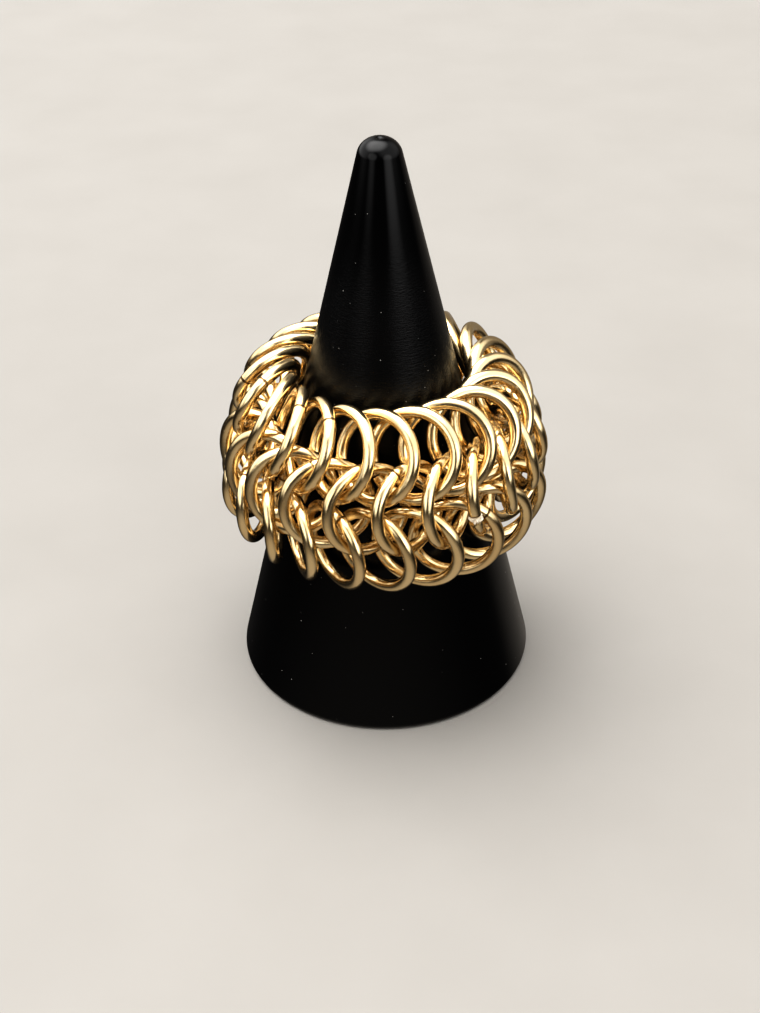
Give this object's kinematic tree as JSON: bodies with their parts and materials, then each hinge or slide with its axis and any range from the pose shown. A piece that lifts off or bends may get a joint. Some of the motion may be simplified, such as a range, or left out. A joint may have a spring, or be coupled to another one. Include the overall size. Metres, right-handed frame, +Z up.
{
  "type": "chain mail ring on a cone ring stand",
  "caption": "Finger ring of woven round-wire chain mail in a gold finish, pushed down on a black tapered ring stand with a rounded tip and a flat base.",
  "frame": {"origin": "centre of the stand's flat base, which rests on the table", "axes": "+Z up along the axis of the stand, -Y towards the viewer of the picture, +X to the viewer's right"},
  "size_m": [0.0322, 0.0322, 0.0557],
  "materials": {
    "black_plastic": "glossy black moulded plastic, duller lower down, with fine short marks round it and a little dust",
    "gold_wire": "polished pale gold wire with fine drawing marks and saw-cut seams"
  },
  "bodies": {
    "root": {"cone_stand": "black_plastic", "edge_links": "gold_wire", "middle_links": "gold_wire"}
  },
  "joints": []
}
